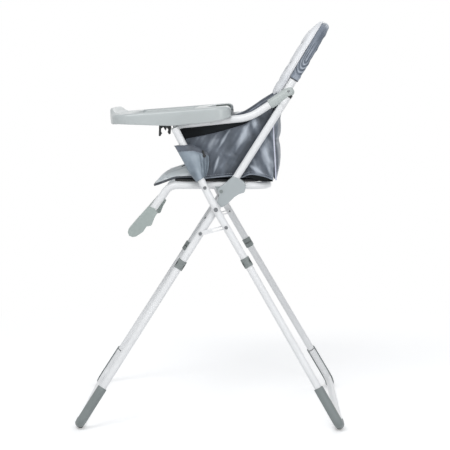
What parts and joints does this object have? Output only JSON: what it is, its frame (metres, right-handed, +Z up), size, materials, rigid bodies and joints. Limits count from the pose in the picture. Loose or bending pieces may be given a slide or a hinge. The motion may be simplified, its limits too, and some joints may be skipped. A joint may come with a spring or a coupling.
{
  "type": "baby high chair",
  "caption": "Folding crossed-leg tube high chair with hinged fabric seat, slide-on tray, catches and footrest.",
  "frame": {"origin": "on the floor, midway between the front and rear foot covers and between the two sides", "axes": "+X to the rear, +Y to the child's right, +Z up"},
  "size_m": [0.6858, 0.5757, 1.0355],
  "materials": {
    "white_tube": "gloss white powder coat",
    "tray_plastic": "satin light grey",
    "grey_plastic": "satin mid grey",
    "dark_grey_plastic": "satin dark grey",
    "black_plastic": "satin black",
    "black_rubber": "matt black",
    "steel": "zinc plated",
    "slate_cloth": "woven slate with a sheen",
    "pale_cloth": "pale grey quilted",
    "webbing": "black webbing",
    "board": "plain hardboard"
  },
  "bodies": {
    "front_frame": {"front_upright_left": "white_tube", "front_upright_right": "white_tube", "front_leg_left": "white_tube", "front_leg_right": "white_tube", "seat_bracket_left": "grey_plastic", "seat_bracket_right": "grey_plastic", "armrest_left": "white_tube", "armrest_right": "white_tube", "back_joint_left": "grey_plastic", "back_joint_right": "grey_plastic", "side_panel_left": "slate_cloth", "side_panel_right": "slate_cloth", "front_floor_bar": "white_tube", "front_foot_covers": "dark_grey_plastic", "front_foot_pads": "black_rubber", "front_collars": "dark_grey_plastic", "crossing_pins": "steel", "crossing_washers": "dark_grey_plastic", "stay_rivets": "steel", "seat_pivot_pins": "steel", "arm_plugs": "dark_grey_plastic", "back_hoop": "white_tube", "back_cover": "slate_cloth", "back_board": "board", "back_pad": "pale_cloth", "lower_back": "slate_cloth", "shoulder_straps": "webbing"},
    "rear_frame": {"rear_upright_left": "white_tube", "rear_upright_right": "white_tube", "rear_leg_left": "white_tube", "rear_leg_right": "white_tube", "cloth_sleeve_left": "slate_cloth", "cloth_sleeve_right": "slate_cloth", "rear_floor_bar": "white_tube", "rear_foot_covers": "dark_grey_plastic", "rear_foot_pads": "black_rubber", "rear_collars": "dark_grey_plastic", "rear_plugs": "dark_grey_plastic", "rear_rivets": "steel"},
    "stay_left": {"stay_link_left": "white_tube"},
    "stay_right": {"stay_link_right": "white_tube"},
    "seat": {"seat_rail_left": "white_tube", "seat_rail_right": "white_tube", "seat_rear_bar": "white_tube", "seat_joiners": "steel", "seat_hinges": "grey_plastic", "seat_board": "board", "seat_pad": "slate_cloth", "waist_straps": "webbing", "crotch_strap": "webbing", "buckle": "black_plastic"},
    "footrest": {"footrest": "grey_plastic"},
    "button": {"buckle_button": "black_plastic"},
    "tray": {"tray_shell": "tray_plastic", "tray_runners": "tray_plastic", "catch_housings": "tray_plastic", "catch_pins": "steel"},
    "catch_left": {"tray_catch_left": "black_plastic"},
    "catch_right": {"tray_catch_right": "black_plastic"}
  },
  "joints": [
    {"name": "leg_fold", "type": "hinge", "parent": "front_frame", "child": "rear_frame", "pos_m": [0.0156, 0, 0.5588], "axis": [0, 1, 0], "range_deg": [0, 50]},
    {"name": "seat_fold", "type": "hinge", "parent": "front_frame", "child": "seat", "pos_m": [0.0289, 0, 0.6035], "axis": [0, 1, 0], "range_deg": [-50, 0]},
    {"name": "tray_slide", "type": "slide", "parent": "front_frame", "child": "tray", "axis": [-0.9947, 0, -0.1026], "range_m": [0, 0.06]},
    {"name": "footrest_slide", "type": "slide", "parent": "seat", "child": "footrest", "axis": [0.5736, 0, 0.8192], "range_m": [0, 0.025]},
    {"name": "buckle_press", "type": "slide", "parent": "seat", "child": "button", "axis": [0, 0, -1], "range_m": [0, 0.003], "stiffness_N_per_m": 300, "springref_m": -0.003},
    {"name": "stay_turn_left", "type": "hinge", "parent": "front_frame", "child": "stay_left", "pos_m": [-0.0247, -0.2086, 0.49555], "axis": [0, 1, 0], "range_deg": [-17, 0]},
    {"name": "catch_press_left", "type": "hinge", "parent": "tray", "child": "catch_left", "pos_m": [-0.104, -0.197, 0.779], "axis": [0, 1, 0], "range_deg": [-12, 0], "stiffness_Nm_per_rad": 0.3, "springref_deg": 5.73},
    {"name": "stay_turn_right", "type": "hinge", "parent": "front_frame", "child": "stay_right", "pos_m": [-0.0247, 0.2086, 0.49555], "axis": [0, 1, 0], "range_deg": [-17, 0]},
    {"name": "catch_press_right", "type": "hinge", "parent": "tray", "child": "catch_right", "pos_m": [-0.104, 0.197, 0.779], "axis": [0, 1, 0], "range_deg": [-12, 0], "stiffness_Nm_per_rad": 0.3, "springref_deg": 5.73}
  ],
  "couplings": [
    {"joint": "seat_fold", "follows": "leg_fold", "ratio": -1},
    {"joint": "stay_turn_left", "follows": "leg_fold", "ratio": -0.336},
    {"joint": "stay_turn_right", "follows": "leg_fold", "ratio": -0.336}
  ]
}
